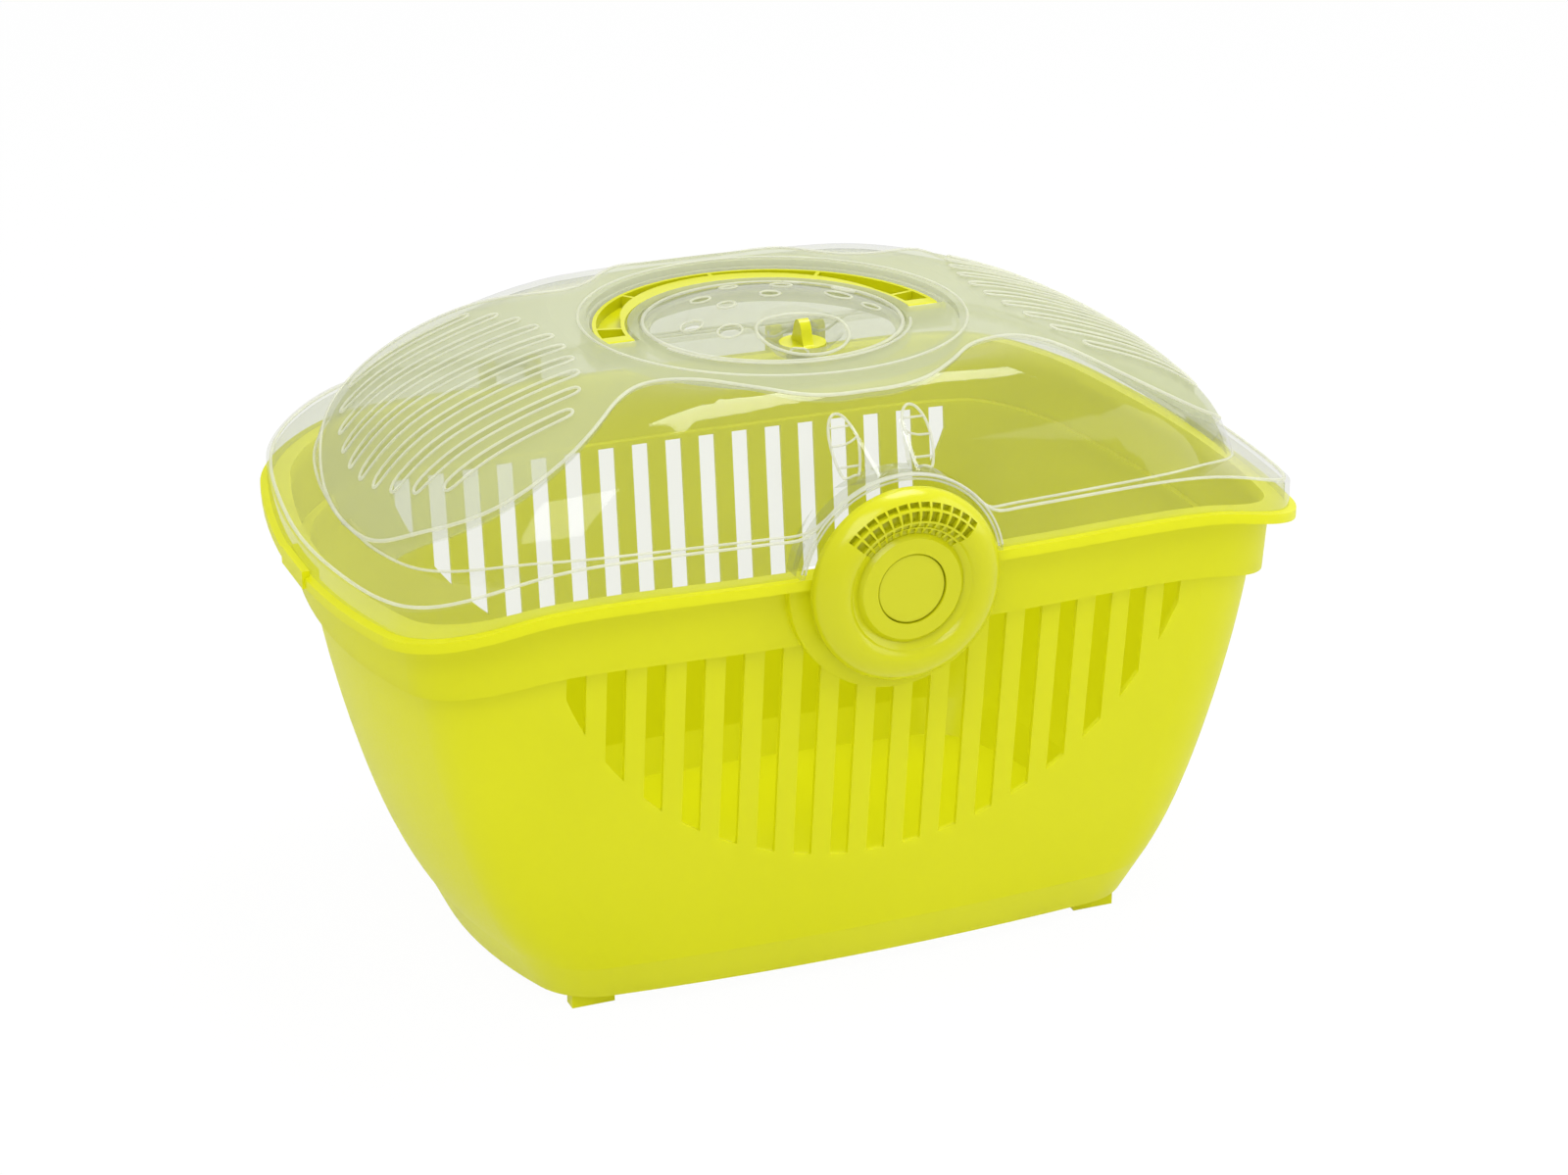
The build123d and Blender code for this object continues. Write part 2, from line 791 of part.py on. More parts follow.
def hinge_pin(station):
    """Pin of one hinge station."""
    y, z = hinge_axis()
    half = knuckle_length / 2 + hinge_side_gap + ear_length
    x = station * hinge_spacing / 2
    return cylinder_x(hinge_pin_radius, y, z, x - half, x + half)


def main():
    """Write one file for each piece."""
    os.makedirs("parts", exist_ok=True)
    pieces = {
        "base_tub": base_tub(),
        "lid_shell": lid_shell(),
        "latch_body": latch_body(),
        "latch_cap": latch_cap(),
        "latch_pin": latch_pin(),
        "carry_handle": carry_handle(),
        "treat_hatch": treat_hatch(),
        "hatch_knob": hatch_knob(),
        "hatch_tongue": hatch_tongue(),
        "hinge_pin_left": hinge_pin(-1),
        "hinge_pin_right": hinge_pin(1),
    }
    for name, piece in pieces.items():
        export_step(piece, f"parts/{name}.step")
        print(name, round(piece.volume), len(piece.solids()))


main()
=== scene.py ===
import math
import bmesh
import bpy
import numpy as np
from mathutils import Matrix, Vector
from mathutils.bvhtree import BVHTree


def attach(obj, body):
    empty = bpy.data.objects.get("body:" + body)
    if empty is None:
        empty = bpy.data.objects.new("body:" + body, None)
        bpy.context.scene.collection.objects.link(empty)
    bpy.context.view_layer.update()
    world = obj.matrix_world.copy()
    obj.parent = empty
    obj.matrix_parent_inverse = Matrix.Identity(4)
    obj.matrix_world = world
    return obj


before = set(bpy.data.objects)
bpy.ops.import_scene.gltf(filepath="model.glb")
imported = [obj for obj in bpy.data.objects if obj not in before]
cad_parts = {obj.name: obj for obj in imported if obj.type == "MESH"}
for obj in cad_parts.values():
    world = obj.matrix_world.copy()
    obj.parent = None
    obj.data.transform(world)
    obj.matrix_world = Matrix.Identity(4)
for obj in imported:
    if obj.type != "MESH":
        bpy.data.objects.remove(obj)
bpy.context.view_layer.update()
print("frame loaded")


# where the photograph was taken from, in metres and degrees, with lens and sensor in millimetres
shot = {
    "target": (0.0056, 0.0, 0.1453),
    "azimuth": -22.41,
    "elevation": 22.02,
    "distance": 1.657,
    "lens": 81.96,
    "sensor": 36,
    "nearClip": 0.01,
}


def makeCamera():
    # place = target + distance * unit vector at that azimuth and elevation
    az = math.radians(shot["azimuth"])
    el = math.radians(shot["elevation"])
    level = math.cos(el)
    back = Vector((math.sin(az) * level, -math.cos(az) * level, math.sin(el)))
    data = bpy.data.cameras.new("camera")
    data.lens = shot["lens"]
    data.sensor_width = shot["sensor"]
    data.sensor_fit = "HORIZONTAL"
    data.clip_start = shot["nearClip"]
    camera = bpy.data.objects.new("camera", data)
    camera.location = Vector(shot["target"]) + back * shot["distance"]
    camera.rotation_euler = back.to_track_quat("Z", "Y").to_euler()
    bpy.context.collection.objects.link(camera)
    bpy.context.scene.camera = camera


# small wiring help for materials
def newMaterial(name):
    mat = bpy.data.materials.new(name)
    mat.use_nodes = True
    tree = mat.node_tree
    tree.nodes.clear()
    return mat, tree


def addNode(tree, kind, **values):
    node = tree.nodes.new(kind)
    for key, value in values.items():
        setattr(node, key, value)
    return node


def objectCoords(tree):
    return addNode(tree, "ShaderNodeTexCoord").outputs["Object"]


def noise(tree, vector, scale, detail):
    node = addNode(tree, "ShaderNodeTexNoise")
    node.inputs["Scale"].default_value = scale
    node.inputs["Detail"].default_value = detail
    tree.links.new(vector, node.inputs["Vector"])
    return node.outputs["Fac"]


def ramp(tree, factor, colours, edges=(0.3, 0.7)):
    # two stops: below the first edge the first colour, above the second edge the second
    node = addNode(tree, "ShaderNodeValToRGB")
    for stop, edge, colour in zip(node.color_ramp.elements, edges, colours):
        stop.position = edge
        stop.color = (*colour, 1)
    tree.links.new(factor, node.inputs["Fac"])
    return node.outputs["Color"]


def math2(tree, operation, a, b=None, c=None):
    # a sum or product of sockets and numbers, in any mix
    node = addNode(tree, "ShaderNodeMath", operation=operation)
    for index, value in enumerate((a, b, c)):
        if value is None:
            continue
        if isinstance(value, (int, float)):
            node.inputs[index].default_value = value
        else:
            tree.links.new(value, node.inputs[index])
    return node.outputs[0]


def bumpFrom(tree, height, strength, distance):
    node = addNode(tree, "ShaderNodeBump")
    node.inputs["Strength"].default_value = strength
    node.inputs["Distance"].default_value = distance
    tree.links.new(height, node.inputs["Height"])
    return node.outputs["Normal"]


def plainShader(tree, kind, colour=None):
    # a shader whose colour, if any is given, is a fixed one
    node = addNode(tree, kind)
    if colour:
        node.inputs["Color"].default_value = (*colour, 1)
    return node.outputs[0]


def blend(tree, share, first, second):
    # share of the second shader over the first, a number or a socket
    node = addNode(tree, "ShaderNodeMixShader")
    if isinstance(share, float):
        node.inputs[0].default_value = share
    else:
        tree.links.new(share, node.inputs[0])
    tree.links.new(first, node.inputs[1])
    tree.links.new(second, node.inputs[2])
    return node.outputs[0]


def toSurface(tree, shader, kind="ShaderNodeOutputMaterial"):
    tree.links.new(shader, addNode(tree, kind).inputs["Surface"])


# opaque yellow-green plastic of the tub, latch and handle; noises are scale and detail
plastic = {
    "base": (0.655, 0.66, 0.008),
    "deep": (0.635, 0.645, 0.005),
    "cloud": (9.0, 2.0),
    "cloudEdges": (0.35, 0.65),
    "roughness": 0.34,
    "roughBand": (-0.04, 0.05),
    "specular": 0.3,
    "lit": (0.93, 0.93, 0.02),
    "grain": (900.0, 2.0),
    "grainStrength": 0.25,
    "grainDepth": 0.00002,
}

# its three finishes: share of light let through, change of roughness, tone
yellows = {
    "yellow_plastic": (0.42, 0.0, 1.0),
    "yellow_cap": (0.08, 0.0, 0.82),
    "yellow_gloss": (0.12, -0.14, 0.84),
}


def plasticMaterial(name):
    through, rough, tone = yellows[name]
    mat, tree = newMaterial(name)
    coords = objectCoords(tree)
    shader = addNode(tree, "ShaderNodeBsdfPrincipled")
    cloudy = noise(tree, coords, *plastic["cloud"])
    tones = [tuple(v * tone for v in plastic[key]) for key in ("deep", "base")]
    colour = ramp(tree, cloudy, tones, plastic["cloudEdges"])
    tree.links.new(colour, shader.inputs["Base Color"])
    shader.inputs["Specular IOR Level"].default_value = plastic["specular"]
    fine = noise(tree, coords, *plastic["grain"])
    greys = [(plastic["roughness"] + rough + step,) * 3 for step in plastic["roughBand"]]
    tree.links.new(ramp(tree, fine, greys), shader.inputs["Roughness"])
    normal = bumpFrom(tree, fine, plastic["grainStrength"], plastic["grainDepth"])
    tree.links.new(normal, shader.inputs["Normal"])
    glow = plainShader(tree, "ShaderNodeBsdfTranslucent", plastic["lit"])
    toSurface(tree, blend(tree, through, shader.outputs[0], glow))
    return mat


# clear moulding: straight-through plastic with a faint haze, milky where frosted
clear = {
    "tint": (0.95, 0.955, 0.93),
    "dim": 0.985,
    "mist": (30.0, 3.0),
    "veil": (0.53, 0.56, 0.38),
    "matte": 0.6,
    "haze": 0.06,
    "frost": 0.44,
    "gloss": 0.06,
    "frostGloss": 0.35,
    "grain": (1400.0, 2.0),
    "grainStrength": 0.2,
    "grainDepth": 0.00002,
    "index": 1.42,
    "lightIn": 0.95,
    "dull": 0.7,
}

# the same plastic with no frosted field, as on the hatch: a slow noise varies its haze
unfrosted = {
    "cloud": (14.0, 3.0),
    "haze": 0.2,
    "reach": 0.03,
    "rough": 0.02,
}


def clearBody(tree, coords, mask, reach, haze):
    # veil over see-through plastic, in the share haze + mask * reach
    mist = noise(tree, coords, *clear["mist"])
    dim = tuple(v * clear["dim"] for v in clear["tint"])
    through = addNode(tree, "ShaderNodeBsdfTransparent")
    tree.links.new(ramp(tree, mist, (dim, clear["tint"])), through.inputs["Color"])
    milky = plainShader(tree, "ShaderNodeBsdfTranslucent", clear["veil"])
    matte = plainShader(tree, "ShaderNodeBsdfDiffuse", clear["veil"])
    soft = blend(tree, clear["matte"], milky, matte)
    share = math2(tree, "MULTIPLY_ADD", mask, reach, haze)
    return blend(tree, share, through.outputs[0], soft)


def clearShine(tree, coords, mask, rough):
    # gloss whose roughness grows with the mask
    fine = noise(tree, coords, *clear["grain"])
    normal = bumpFrom(tree, fine, clear["grainStrength"], clear["grainDepth"])
    shine = addNode(tree, "ShaderNodeBsdfGlossy")
    roughness = math2(tree, "MULTIPLY_ADD", mask, rough, clear["gloss"])
    tree.links.new(roughness, shine.inputs["Roughness"])
    tree.links.new(normal, shine.inputs["Normal"])
    return shine.outputs[0]


def clearMaterial(name, frosted):
    # shine by Fresnel on the outer side only, weaker on frost; lamps shine nearly straight in
    mat, tree = newMaterial(name)
    coords = objectCoords(tree)
    if frosted:
        mask = frostMask(tree, coords)
        haze = clear["haze"]
        reach = clear["frost"] - haze
        rough = clear["frostGloss"] - clear["gloss"]
    else:
        mask = noise(tree, coords, *unfrosted["cloud"])
        haze, reach, rough = (unfrosted[key] for key in ("haze", "reach", "rough"))
    body = clearBody(tree, coords, mask, reach, haze)
    shine = clearShine(tree, coords, mask, rough)
    edge = addNode(tree, "ShaderNodeFresnel")
    edge.inputs["IOR"].default_value = clear["index"]
    backSide = addNode(tree, "ShaderNodeNewGeometry").outputs["Backfacing"]
    front = math2(tree, "SUBTRACT", 1.0, backSide)
    shiny = math2(tree, "MULTIPLY", edge.outputs[0], front)
    if frosted:
        dulled = math2(tree, "MULTIPLY_ADD", mask, -clear["dull"], 1.0)
        shiny = math2(tree, "MULTIPLY", shiny, dulled)
    shown = blend(tree, shiny, body, shine)
    path = addNode(tree, "ShaderNodeLightPath").outputs
    lamp = math2(tree, "MAXIMUM", path["Is Shadow Ray"], path["Is Diffuse Ray"])
    share = math2(tree, "MULTIPLY", lamp, clear["lightIn"])
    toSurface(tree, blend(tree, share, shown, plainShader(tree, "ShaderNodeBsdfTransparent")))
    return mat


# frosted field seen from above, one quarter: half width over half length, in metres
frost = {
    "edge": (
        (0.0, 0.105), (0.018, 0.1045), (0.035, 0.1), (0.05, 0.088), (0.062, 0.075),
        (0.076, 0.069), (0.09, 0.07), (0.103, 0.078), (0.115, 0.089), (0.13, 0.098),
        (0.145, 0.102), (0.16, 0.101), (0.174, 0.094), (0.186, 0.081), (0.195, 0.062),
        (0.201, 0.036), (0.204, 0.0),
    ),
    "span": 0.25,
    "lowest": 0.207,
    "steepness": 900.0,
    "bead": 0.0009,
    "between": 6,
    "smooth": 6,
}


def frostMask(tree, coords):
    # 1 where |y| < edge(|x|) and the point lies above the foot of the dome
    split = addNode(tree, "ShaderNodeSeparateXYZ")
    tree.links.new(coords, split.inputs[0])
    ax = math2(tree, "ABSOLUTE", split.outputs["X"])
    ay = math2(tree, "ABSOLUTE", split.outputs["Y"])
    curve = addNode(tree, "ShaderNodeFloatCurve")
    line = curve.mapping.curves[0]
    span = frost["span"]
    points = [(x / span, y / span) for x, y in frost["edge"]]
    line.points[0].location = points[0]
    line.points[1].location = (1.0, 0.0)
    for p in points[1:]:
        line.points.new(*p)
    curve.mapping.update()
    tree.links.new(math2(tree, "DIVIDE", ax, span), curve.inputs["Value"])
    edge = math2(tree, "MULTIPLY", curve.outputs[0], span)
    inside = math2(tree, "SUBTRACT", edge, ay)
    sharp = math2(tree, "MULTIPLY", inside, frost["steepness"])
    mask = addNode(tree, "ShaderNodeClamp")
    tree.links.new(sharp, mask.inputs["Value"])
    above = math2(tree, "GREATER_THAN", split.outputs["Z"], frost["lowest"])
    return math2(tree, "MULTIPLY", mask.outputs[0], above)


# plain drawn steel of the hidden pins
steel = {
    "tones": ((0.5, 0.5, 0.49), (0.66, 0.66, 0.64)),
    "drawn": (400.0, 4.0),
    "roughness": 0.35,
}


def steelMaterial(name):
    mat, tree = newMaterial(name)
    shader = addNode(tree, "ShaderNodeBsdfPrincipled")
    shader.inputs["Metallic"].default_value = 1.0
    drawn = noise(tree, objectCoords(tree), *steel["drawn"])
    tree.links.new(ramp(tree, drawn, steel["tones"]), shader.inputs["Base Color"])
    shader.inputs["Roughness"].default_value = steel["roughness"]
    toSurface(tree, shader.outputs[0])
    return mat


def dress(node, mat):
    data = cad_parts[node].data
    data.materials.clear()
    data.materials.append(mat)


def dressFrame():
    yellow, solid, gloss = (plasticMaterial(name) for name in yellows)
    lid = clearMaterial("clear_lid", True)
    hatch = clearMaterial("clear_hatch", False)
    pins = steelMaterial("pin_steel")
    finishes = {
        "base_tub": yellow,
        "lid_shell": lid,
        "latch_body": gloss,
        "latch_cap": solid,
        "latch_pin": pins,
        "carry_handle": gloss,
        "treat_hatch": hatch,
        "hatch_knob": gloss,
        "hatch_tongue": gloss,
        "hinge_pin_left": pins,
        "hinge_pin_right": pins,
    }
    for node, mat in finishes.items():
        dress(node, mat)


# lines of the clear mouldings, as thin beads laid on their surfaces: raised ridges, coloured
# whitish to paint the bright highlight along their edges
lines = {
    # colour: whitish tone of the beads, a painted highlight of the clear edges
    "colour": (0.8, 0.81, 0.73),
    "shade": 0.94,
    "cloud": (60.0, 2.0),
    "roughness": 0.3,
    "glow": 0.5,
    "through": 0.45,
    "sides": 8,
    "sink": 0.25,
    "flatness": 0.8,
    "castFrom": 0.4,
    "strayHeight": 0.21,
}


def highlightBeadMaterial(name):
    # the whitish tone, varied by a noise, is painted highlight
    mat, tree = newMaterial(name)
    cloudy = noise(tree, objectCoords(tree), *lines["cloud"])
    shaded = tuple(v * lines["shade"] for v in lines["colour"])
    tone = ramp(tree, cloudy, (shaded, lines["colour"]))
    shader = addNode(tree, "ShaderNodeBsdfPrincipled")
    tree.links.new(tone, shader.inputs["Base Color"])
    shader.inputs["Roughness"].default_value = lines["roughness"]
    back = addNode(tree, "ShaderNodeBsdfTranslucent")
    tree.links.new(tone, back.inputs["Color"])
    body = blend(tree, lines["glow"], shader.outputs[0], back.outputs[0])
    through = plainShader(tree, "ShaderNodeBsdfTransparent")
    toSurface(tree, blend(tree, lines["through"], body, through))
    return mat


def smoothClosed(points, steps):
    # closed Catmull-Rom curve through the points: a cubic in t between b and c
    p = np.asarray(points, float)
    t = np.linspace(0, 1, steps, endpoint=False)[None, :, None]
    a, b, c, d = (np.roll(p, shift, axis=0)[:, None, :] for shift in (1, 0, -1, -2))
    first = (c - a) * t
    second = (2 * a - 5 * b + 4 * c - d) * t**2
    third = (3 * b - a - 3 * c + d) * t**3
    curve = 0.5 * (2 * b + first + second + third)
    return curve.reshape(-1, p.shape[1])


def tangents(path, closed):
    # unit tangents of a path, from the points before and after
    if closed:
        run = np.roll(path, -1, axis=0) - np.roll(path, 1, axis=0)
    else:
        run = np.gradient(path, axis=0)
    return run / np.linalg.norm(run, axis=1, keepdims=True)


def tubeMesh(path, up, width, height, closed):
    # oval section of half width and half height swept along the path:
    # place = path + cos(turn) * side * width + sin(turn) * rise * height
    tangent = tangents(path, closed)
    side = np.cross(tangent, up)
    side /= np.linalg.norm(side, axis=1, keepdims=True)
    rise = np.cross(side, tangent)
    turn = np.linspace(0, 2 * np.pi, lines["sides"], endpoint=False)[None, :, None]
    ring = np.cos(turn) * side[:, None] * width + np.sin(turn) * rise[:, None] * height
    verts = (path[:, None] + ring).reshape(-1, 3)
    n, m = len(path), lines["sides"]
    i = np.arange(n if closed else n - 1)[:, None]
    j = np.arange(m)[None, :]
    here, there = i * m, ((i + 1) % n) * m
    after = (j + 1) % m
    quads = np.stack([here + j, here + after, there + after, there + j], axis=-1)
    faces = [tuple(q) for q in quads.reshape(-1, 4).tolist()]
    if not closed:
        faces += [tuple(range(m))[::-1], tuple(range((n - 1) * m, n * m))]
    return verts, faces


def makePiece(name, parts, mat, body):
    # one object from several vertex and face lists
    verts, faces, start = [], [], 0
    for v, f in parts:
        verts.append(v)
        faces += [tuple(k + start for k in face) for face in f]
        start += len(v)
    mesh = bpy.data.meshes.new(name)
    mesh.from_pydata(np.concatenate(verts).tolist(), [], faces)
    mesh.validate()
    work = bmesh.new()
    work.from_mesh(mesh)
    bmesh.ops.recalc_face_normals(work, faces=work.faces)
    work.to_mesh(mesh)
    work.free()
    mesh.shade_smooth()
    mesh.materials.append(mat)
    piece = bpy.data.objects.new(name, mesh)
    bpy.context.collection.objects.link(piece)
    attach(piece, body)


def surfaceTree(node):
    # search tree over the faces of a CAD node
    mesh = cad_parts[node].data
    verts = [v.co.copy() for v in mesh.vertices]
    return BVHTree.FromPolygons(verts, [tuple(p.vertices) for p in mesh.polygons])


def below(tree, x, y):
    # first point of the surface under (x, y), and its normal
    return tree.ray_cast(Vector((x, y, lines["castFrom"])), Vector((0, 0, -1)))[:2]


def drop(tree, flat):
    # points of a plan path put down on the surface, or on its nearest point past an edge
    places, normals = [], []
    for x, y in flat:
        hit, normal = below(tree, x, y)
        if hit is None:
            hit, normal = tree.find_nearest(Vector((x, y, lines["strayHeight"])))[:2]
        places.append(tuple(hit))
        normals.append(tuple(normal))
    return np.array(places), np.array(normals)


def softened(values, closed, times):
    # running average of three neighbours, weighted 1, 2, 1
    for _ in range(times):
        if closed:
            around = np.roll(values, 1, axis=0) + values * 2 + np.roll(values, -1, axis=0)
            values = around / 4
        else:
            inner = (values[:-2] + values[1:-1] * 2 + values[2:]) / 4
            values = np.concatenate([values[:1], inner, values[-1:]])
    return values


def bead(tree, flat, radius, closed=True, times=2):
    # raised line on the surface under a plan path, sunk by a share of its radius
    places, normals = drop(tree, flat)
    places = softened(places, closed, times)
    normals = softened(normals, closed, times)
    normals /= np.linalg.norm(normals, axis=1, keepdims=True)
    places = places + normals * radius * lines["sink"]
    return tubeMesh(places, normals, radius, radius * lines["flatness"], closed)


def circle(cx, cy, radius, count, start=0.0, end=360.0):
    # plan circle, or an arc of it, in degrees
    whole = abs(end - start) >= 360
    turn = np.radians(np.linspace(start, end, count, endpoint=not whole))
    return np.stack([cx + radius * np.cos(turn), cy + radius * np.sin(turn)], axis=1)


def stadium(cx, cy, half, radius, count=9, between=12):
    # plan outline of a slot that runs along X: two half circles and the straights between
    turn = np.radians(np.linspace(-90, 90, count))
    x, y = radius * np.cos(turn), radius * np.sin(turn)
    right = np.stack([cx + half - radius + x, cy + y], axis=1)
    left = np.stack([cx - half + radius - x, cy - y], axis=1)
    straight = np.linspace(0, 1, between + 2)[1:-1, None]
    top = right[-1] + (left[0] - right[-1]) * straight
    low = left[-1] + (right[0] - left[-1]) * straight
    return np.concatenate([right, top, left, low])


def frostLoop():
    # the quarter outline mirrored into a whole loop
    quarter = np.array(frost["edge"])
    right = np.concatenate([quarter, (quarter[:-1] * (1, -1))[::-1]])
    left = (right[1:-1] * (-1, 1))[::-1]
    return smoothClosed(np.concatenate([right, left]), frost["between"])


# the two fields of louvres at the lid's ends, in metres, as in the CAD source
louvres = {
    "count": 10,
    "pitch": 0.016,
    "middle": 0.149,
    "half": 0.047,
    "field": 1.12,
    "width": 0.005,
    "bead": 0.0008,
}


def louvreRims(tree):
    # half length = half * sqrt(1 - (2 y / field)^2), so that each field is an oval
    rims = []
    thick = louvres["bead"]
    field = louvres["pitch"] * louvres["count"] * louvres["field"]
    width = louvres["width"] / 2 + thick
    for side in (-1, 1):
        for i in range(louvres["count"]):
            y = (i - (louvres["count"] - 1) / 2) * louvres["pitch"]
            half = louvres["half"] * math.sqrt(1 - (2 * y / field) ** 2) + thick
            rims.append(bead(tree, stadium(side * louvres["middle"], y, half, width), thick))
    return rims


# rings round the handle's deck and the hatch's hole: radius and how far out the line lies
deck = {
    "radius": 0.0855,
    "out": 0.0022,
    "hole": 0.0615,
    "holeOut": 0.0006,
    "holeArc": (200, 340),
    "points": 144,
    "bead": 0.0007,
}


def deckRings(tree):
    outer = circle(0, 0, deck["radius"] + deck["out"], deck["points"])
    inner = circle(0, 0, deck["hole"] + deck["holeOut"], deck["points"], *deck["holeArc"])
    return [bead(tree, outer, deck["bead"]), bead(tree, inner, deck["bead"], closed=False)]


# the pair of oval marks with rungs in front of the deck
marks = {
    "middle": (0.017, -0.121),
    "half": (0.0062, 0.0098),
    "points": 32,
    "rungs": 3,
    "rungField": 1.1,
    "rungPoints": 5,
    "bead": 0.0007,
    "rungThin": 0.8,
}


def stepMarks(tree):
    # each rung reaches a * sqrt(1 - (y / b)^2) to both sides of its oval's middle
    beads = []
    cx, cy = marks["middle"]
    a, b = marks["half"]
    turn = np.linspace(0, 2 * np.pi, marks["points"], endpoint=False)
    for side in (-1, 1):
        oval = np.stack([side * cx + a * np.cos(turn), cy + b * np.sin(turn)], axis=1)
        beads.append(bead(tree, oval, marks["bead"]))
        for k in range(marks["rungs"]):
            y = cy + b * marks["rungField"] * (k / (marks["rungs"] - 1) - 0.5)
            reach = a * math.sqrt(1 - ((y - cy) / b) ** 2)
            x = np.linspace(-reach, reach, marks["rungPoints"]) + side * cx
            rung = np.stack([x, np.full_like(x, y)], axis=1)
            beads.append(bead(tree, rung, marks["bead"] * marks["rungThin"], closed=False))
    return beads


# lines at the foot of the dome and along the skirt, found on the lid itself
shoulder = {
    "turnStep": 1.5,
    "radii": (0.125, 0.27, 0.001),
    "lowest": 0.19,
    "highest": 0.2305,
    "flat": 0.84,
    "inset": 0.0012,
    "outlineSmooth": 3,
    "beadSmooth": 4,
    "bead": 0.0007,
    "skirtWide": 1.2,
}


def lidOutlines(tree):
    # going outwards at each angle: where the dome meets the shoulder, and the skirt's outer edge
    foot, edge = [], []
    for turn in np.radians(np.arange(0, 360, shoulder["turnStep"])):
        ray = Vector((math.cos(turn), math.sin(turn), 0))
        inner = outer = None
        for radius in np.arange(*shoulder["radii"]):
            place = ray * radius
            hit, normal = below(tree, place.x, place.y)
            if hit is None or hit.z < shoulder["lowest"]:
                continue
            flat = normal.z > shoulder["flat"] and hit.z < shoulder["highest"]
            if flat and inner is None:
                inner = radius
            outer = radius
        inner = inner or outer
        outer -= shoulder["inset"]
        foot.append((ray.x * inner, ray.y * inner))
        edge.append((ray.x * outer, ray.y * outer))
    return [softened(np.array(line), True, shoulder["outlineSmooth"]) for line in (foot, edge)]


def shoulderLines(tree):
    foot, edge = lidOutlines(tree)
    thin, times = shoulder["bead"], shoulder["beadSmooth"]
    wide = thin * shoulder["skirtWide"]
    return [bead(tree, foot, thin, times=times), bead(tree, edge, wide, times=times)]


# double line on the front face of the arch that the latch closes into
arch = {
    "radii": (0.0457, 0.0474),
    "height": 0.2035,
    "front": -0.1456,
    "span": (12, 168),
    "points": 64,
    "bead": 0.0005,
}


def archLine(radius):
    # half circle: x = radius * cos(turn), z = height + radius * sin(turn)
    turn = np.radians(np.linspace(*arch["span"], arch["points"]))
    x = radius * np.cos(turn)
    z = arch["height"] + radius * np.sin(turn)
    path = np.stack([x, np.full_like(x, arch["front"]), z], axis=1)
    up = np.tile((0.0, -1.0, 0.0), (len(path), 1))
    return tubeMesh(path, up, arch["bead"], arch["bead"], False)


def lidPieces(mat):
    # each bead takes the whitish material that paints the edges' bright highlight
    tree = surfaceTree("lid_shell")
    edge = bead(tree, frostLoop(), frost["bead"], times=frost["smooth"])
    makePiece("frost_edge", [edge], mat, "lid")
    makePiece("louvre_rims", louvreRims(tree), mat, "lid")
    makePiece("deck_rings", deckRings(tree), mat, "lid")
    makePiece("step_marks", stepMarks(tree), mat, "lid")
    makePiece("shoulder_lines", shoulderLines(tree), mat, "lid")
    arcs = [archLine(radius) for radius in arch["radii"]]
    makePiece("arch_rim", arcs, mat, "lid")


# lines of the lift-out hatch, in metres, but its holes as x, y and radius in millimetres
hatchLines = {
    "rim": 0.0586,
    "rimPoints": 144,
    "rimBead": 0.0009,
    "funnel": (0.0, -0.035, 0.0206),
    "funnelPoints": 96,
    "funnelWide": 1.3,
    "holes": (
        (-42, -8, 4.5), (-30, -24, 5), (-27, 20, 4), (-21, 3, 3.6), (-6, -46, 3.4), (-8, 34, 3.6),
        (2, 8, 4), (14, 24, 4.4), (26, 40, 3.6), (34, 4, 5.6), (44, -10, 3.6), (44, 22, 4.6),
    ),
    "holePoints": 32,
    "holeBead": 0.0006,
}


def hatchPieces(mat):
    # each ring takes the whitish material that paints the rims' bright highlight
    tree = surfaceTree("treat_hatch")
    rim = circle(0, 0, hatchLines["rim"], hatchLines["rimPoints"])
    funnel = circle(*hatchLines["funnel"], hatchLines["funnelPoints"])
    thin = hatchLines["holeBead"]
    rings = [bead(tree, rim, hatchLines["rimBead"])]
    rings.append(bead(tree, funnel, thin * hatchLines["funnelWide"]))
    for hole in hatchLines["holes"]:
        x, y, radius = (v / 1000 for v in hole)
        rings.append(bead(tree, circle(x, y, radius + thin, hatchLines["holePoints"]), thin))
    makePiece("hatch_rings", rings, mat, "hatch")


# plain studio: pale floor, soft lamps as (watts, place, size), white surroundings
studio = {
    "world": 0.76,
    "floorColour": (0.93, 0.93, 0.93),
    "floorGlow": 0.97,
    "floorReach": 6.0,
    "aim": (0, 0, 0.15),
    "lamps": {
        "key": (22.0, (-0.9, -1.1, 1.7), 1.2),
        "fill": (12.0, (1.5, -0.8, 0.9), 1.4),
        "top": (24.0, (0.5, 0.15, 1.9), 0.9),
    },
}


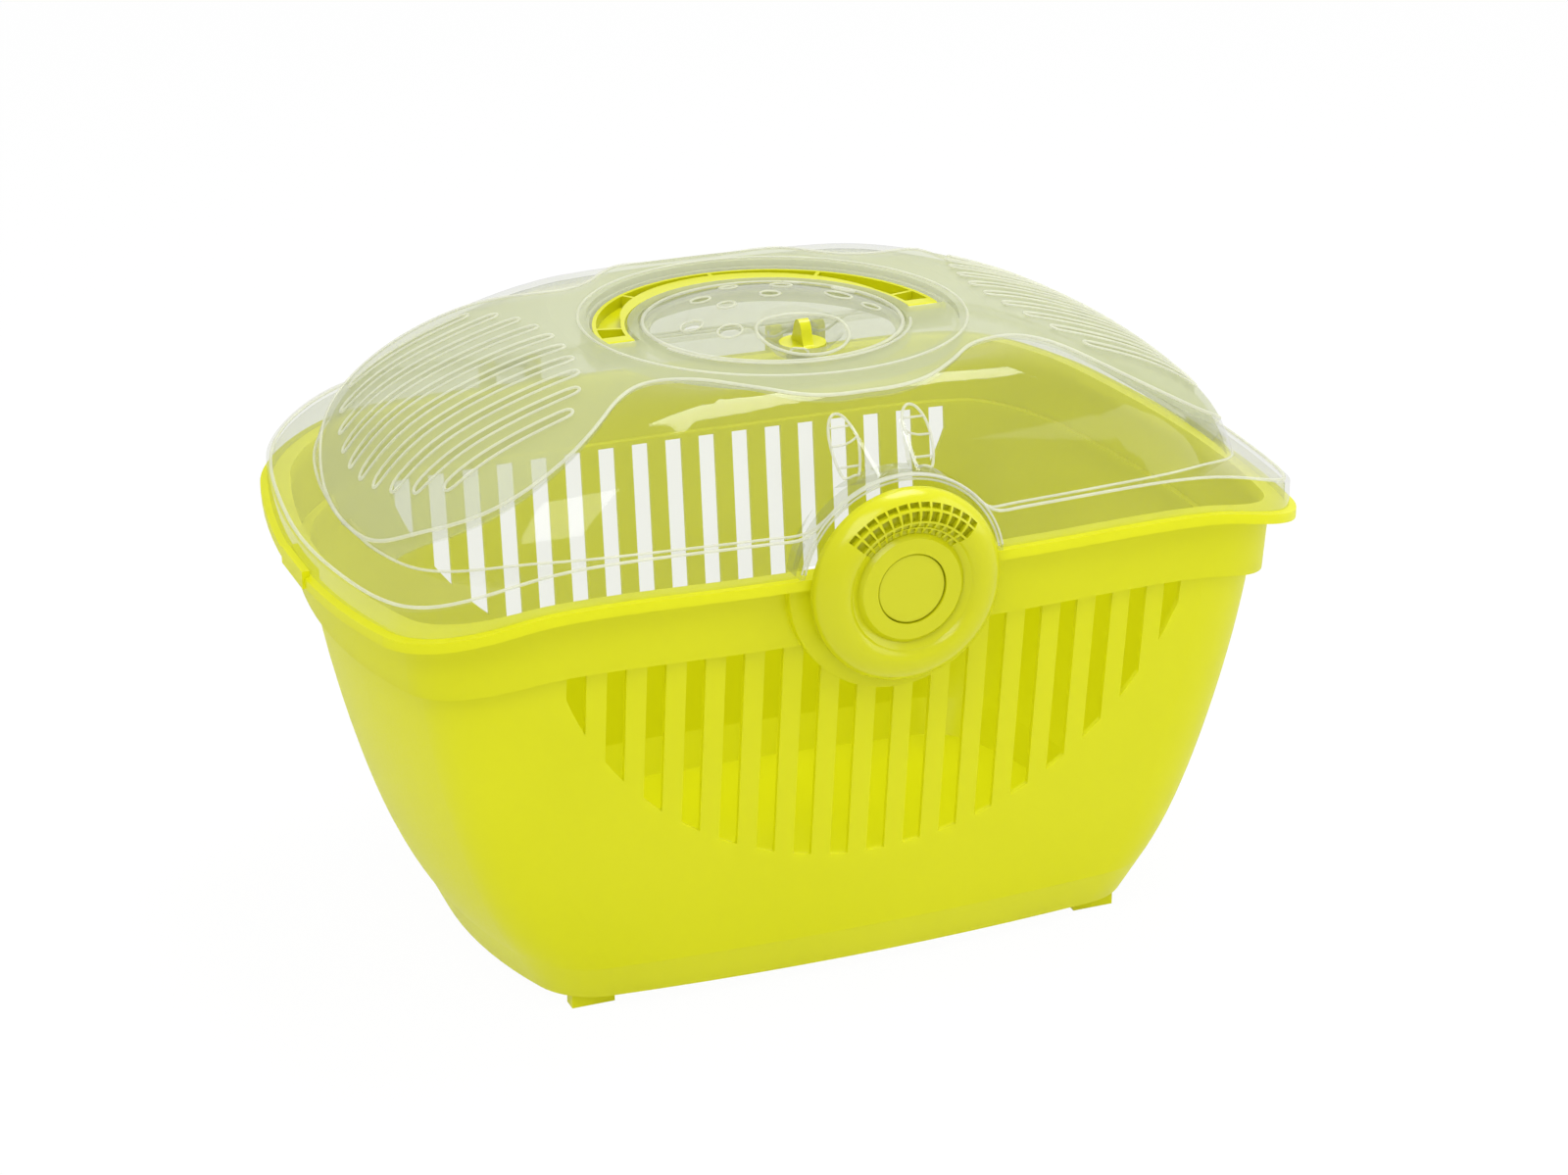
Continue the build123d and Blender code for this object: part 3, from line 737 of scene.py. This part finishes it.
def whiteForCamera(tree):
    # 1 for camera, glossy and transmission rays
    path = addNode(tree, "ShaderNodeLightPath").outputs
    seen = math2(tree, "MAXIMUM", path["Is Camera Ray"], path["Is Glossy Ray"])
    return math2(tree, "MAXIMUM", seen, path["Is Transmission Ray"])


def makeStudio():
    world = bpy.data.worlds.new("studio")
    world.use_nodes = True
    bpy.context.scene.world = world
    tree = world.node_tree
    tree.nodes.clear()
    shown = addNode(tree, "ShaderNodeBackground")
    shown.inputs["Strength"].default_value = 1.0
    shown.inputs["Color"].default_value = (1, 1, 1, 1)
    lit = addNode(tree, "ShaderNodeBackground")
    lit.inputs["Strength"].default_value = studio["world"]
    sky = blend(tree, whiteForCamera(tree), lit.outputs[0], shown.outputs[0])
    toSurface(tree, sky, "ShaderNodeOutputWorld")
    for name, (power, place, size) in studio["lamps"].items():
        data = bpy.data.lights.new(name, "AREA")
        data.energy = power
        data.size = size
        lamp = bpy.data.objects.new(name, data)
        lamp.location = place
        aim = Vector(studio["aim"]) - Vector(place)
        lamp.rotation_euler = aim.to_track_quat("-Z", "Y").to_euler()
        bpy.context.collection.objects.link(lamp)


def makeFloor():
    # one flat square under the object
    reach = studio["floorReach"]
    mesh = bpy.data.meshes.new("floor")
    corners = [(-reach, -reach, 0), (reach, -reach, 0), (reach, reach, 0), (-reach, reach, 0)]
    mesh.from_pydata(corners, [], [(0, 1, 2, 3)])
    floor = bpy.data.objects.new("floor", mesh)
    bpy.context.collection.objects.link(floor)
    mat, tree = newMaterial("floor_white")
    matte = plainShader(tree, "ShaderNodeBsdfDiffuse", studio["floorColour"])
    glow = addNode(tree, "ShaderNodeEmission")
    glow.inputs["Strength"].default_value = 1.0
    share = math2(tree, "MULTIPLY", whiteForCamera(tree), studio["floorGlow"])
    toSurface(tree, blend(tree, share, matte, glow.outputs[0]))
    mesh.materials.append(mat)


bpy.context.scene.view_settings.view_transform = "Standard"
makeCamera()
makeStudio()
makeFloor()
dressFrame()
print("frame dressed")
# one whitish material for all beads: painted highlight along the clear edges
beads = highlightBeadMaterial("painted_edge_highlights")
lidPieces(beads)
print("lid lines laid")
hatchPieces(beads)
print("hatch lines laid")
